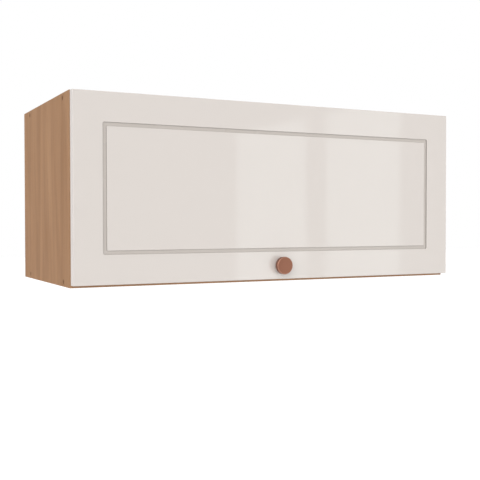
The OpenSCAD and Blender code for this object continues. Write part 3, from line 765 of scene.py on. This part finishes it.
keptNodes = {
    "dowels": "beech",
    "back_nails": "zinc",
    "hinge_arm_pins_left": "zinc",
    "hinge_arm_pins_right": "zinc",
    "hinge_cup_pins_left": "zinc",
    "hinge_cup_pins_right": "zinc",
    "strut_guide_left": "zinc",
    "strut_guide_right": "zinc",
}


def makeFitting(node, pieceName, finishKey, softening):
    fitting = mergedCopy(node, pieceName)
    paintFaces(fitting, [finishKey])
    softenEdges(fitting, softening)
    smoothShade(fitting)
    finishPiece(fitting, [node])


for stem, (pieceStem, finishKey, slotName, softening) in fittingPieces.items():
    for side in ("left", "right"):
        makeFitting(stem + "_" + side, pieceStem + side.capitalize(), finishKey, softening)
for node, (pieceName, finishKey, slotName) in smallPieces.items():
    makeFitting(node, pieceName, finishKey, smallSoftening)
for node, finishKey in keptNodes.items():
    materials = cadNodes[node].data.materials
    for place in range(len(materials)):
        materials[place] = finishes[finishKey]
print("fittings dressed")


# Studio: pale floor, even dome of light, two broad soft keys and two tall soft panes behind the viewer

studioValues = {
    "domeStrength": 0.45,
    "keyStrength": 1.86,
    "keySpread": 70,    # degrees
    "keyPlaces": ((-38, 16), (142, 16)),    # azimuth and elevation in degrees
    "floorDrop": 1.2,
    "floorSize": 60,
    "floorColour": (0.82, 0.82, 0.82),
    "floorRoughness": 0.9,
    "floorLift": 0.45,
    "paneWall": 2.0,
    "paneGlow": 1.4,
    "paneTint": (0.85, 0.96, 0.96),
    "paneTop": 0.50,
    "paneBottom": -1.4,
    "panes": ((-4.522, -3.553), (-3.318, -2.610)),
}


def seenDirectly(tree):
    # 1 for camera, glossy and transmission rays, so that gloss and glass show the pale background too
    path = tree.nodes.new("ShaderNodeLightPath")
    total = path.outputs["Is Camera Ray"]
    for name in ("Is Glossy Ray", "Is Transmission Ray"):
        add = tree.nodes.new("ShaderNodeMath")
        add.operation = "MAXIMUM"
        tree.links.new(total, add.inputs[0])
        tree.links.new(path.outputs[name], add.inputs[1])
        total = add.outputs["Value"]
    return total


def makeDome(values):
    world = bpy.data.worlds.new("studioDome")
    bpy.context.scene.world = world
    world.use_nodes = True
    tree = world.node_tree
    dome = tree.nodes["Background"]
    dome.inputs["Color"].default_value = (*white, 1)
    glow = tree.nodes.new("ShaderNodeMapRange")
    glow.inputs["To Min"].default_value = values["domeStrength"]
    glow.inputs["To Max"].default_value = 1
    tree.links.new(seenDirectly(tree), glow.inputs["Value"])
    tree.links.new(glow.outputs["Result"], dome.inputs["Strength"])


def makeFloor(values):
    shape = bmesh.new()
    bmesh.ops.create_grid(shape, x_segments=1, y_segments=1, size=values["floorSize"] / 2)
    bmesh.ops.translate(shape, verts=shape.verts, vec=(0, 0, cadLow.z - values["floorDrop"]))
    floor = addToScene(shape, "studioFloor")
    finish, tree, shader = newFinish("palePaper")
    shader.inputs["Base Color"].default_value = (*values["floorColour"], 1)
    shader.inputs["Roughness"].default_value = values["floorRoughness"]
    shader.inputs["Specular IOR Level"].default_value = 0
    shader.inputs["Emission Color"].default_value = (*white, 1)
    lift = tree.nodes.new("ShaderNodeMath")
    lift.operation = "MULTIPLY"
    lift.inputs[1].default_value = values["floorLift"]
    tree.links.new(seenDirectly(tree), lift.inputs[0])
    tree.links.new(lift.outputs["Value"], shader.inputs["Emission Strength"])
    floor.data.materials.append(finish)


def addPane(name, low, high, values):
    # A tall soft lamp on a wall to the right, between low and high in y. It shines along -X, and the
    # flap's gloss mirrors it
    light = bpy.data.lights.new(name, "AREA")
    light.shape = "RECTANGLE"
    light.size = high - low
    light.size_y = values["paneTop"] - values["paneBottom"]
    light.energy = values["paneGlow"] * pi * light.size * light.size_y
    light.color = values["paneTint"]
    pane = bpy.data.objects.new(name, light)
    bpy.context.scene.collection.objects.link(pane)
    middle = (values["paneTop"] + values["paneBottom"]) / 2
    pane.location = (values["paneWall"], (low + high) / 2, middle)
    pane.rotation_euler = (radians(90), 0, radians(90))
    pane.visible_camera = False


def addKey(name, azimuth, elevation, values):
    # A broad soft lamp that shines from the given side: azimuth 0 is in front, elevation is above
    light = bpy.data.lights.new(name, "SUN")
    light.energy = values["keyStrength"]
    light.angle = radians(values["keySpread"])
    key = bpy.data.objects.new(name, light)
    bpy.context.scene.collection.objects.link(key)
    key.rotation_euler = (radians(90 - elevation), 0, radians(azimuth))


makeDome(studioValues)
makeFloor(studioValues)
for number, (azimuth, elevation) in enumerate(studioValues["keyPlaces"], start=1):
    addKey("softKey" + str(number), azimuth, elevation, studioValues)
for number, (low, high) in enumerate(studioValues["panes"], start=1):
    addPane("softPane" + str(number), low, high, studioValues)


# Camera at the photograph's place, in metres and degrees, with its lens and sensor in millimetres

cameraValues = {
    "place": (-0.6714, -1.5151, -0.1527),
    "turn": -26.606,
    "tilt": 88.836,
    "roll": -0.069,
    "lens": 61.87,
    "sensor": 36,
    "nearest": 0.05,
    "furthest": 100,
}


def makeCamera(values):
    data = bpy.data.cameras.new("photoCamera")
    data.sensor_width = values["sensor"]
    data.lens = values["lens"]
    data.clip_start = values["nearest"]
    data.clip_end = values["furthest"]
    camera = bpy.data.objects.new("photoCamera", data)
    bpy.context.scene.collection.objects.link(camera)
    camera.matrix_world = (
        Matrix.Translation(values["place"])
        @ Matrix.Rotation(radians(values["turn"]), 4, "Z")
        @ Matrix.Rotation(radians(values["tilt"]), 4, "X")
        @ Matrix.Rotation(radians(values["roll"]), 4, "Z")
    )
    bpy.context.scene.camera = camera


makeCamera(cameraValues)
bpy.context.scene.view_settings.view_transform = "Standard"
print("studio and camera ready")
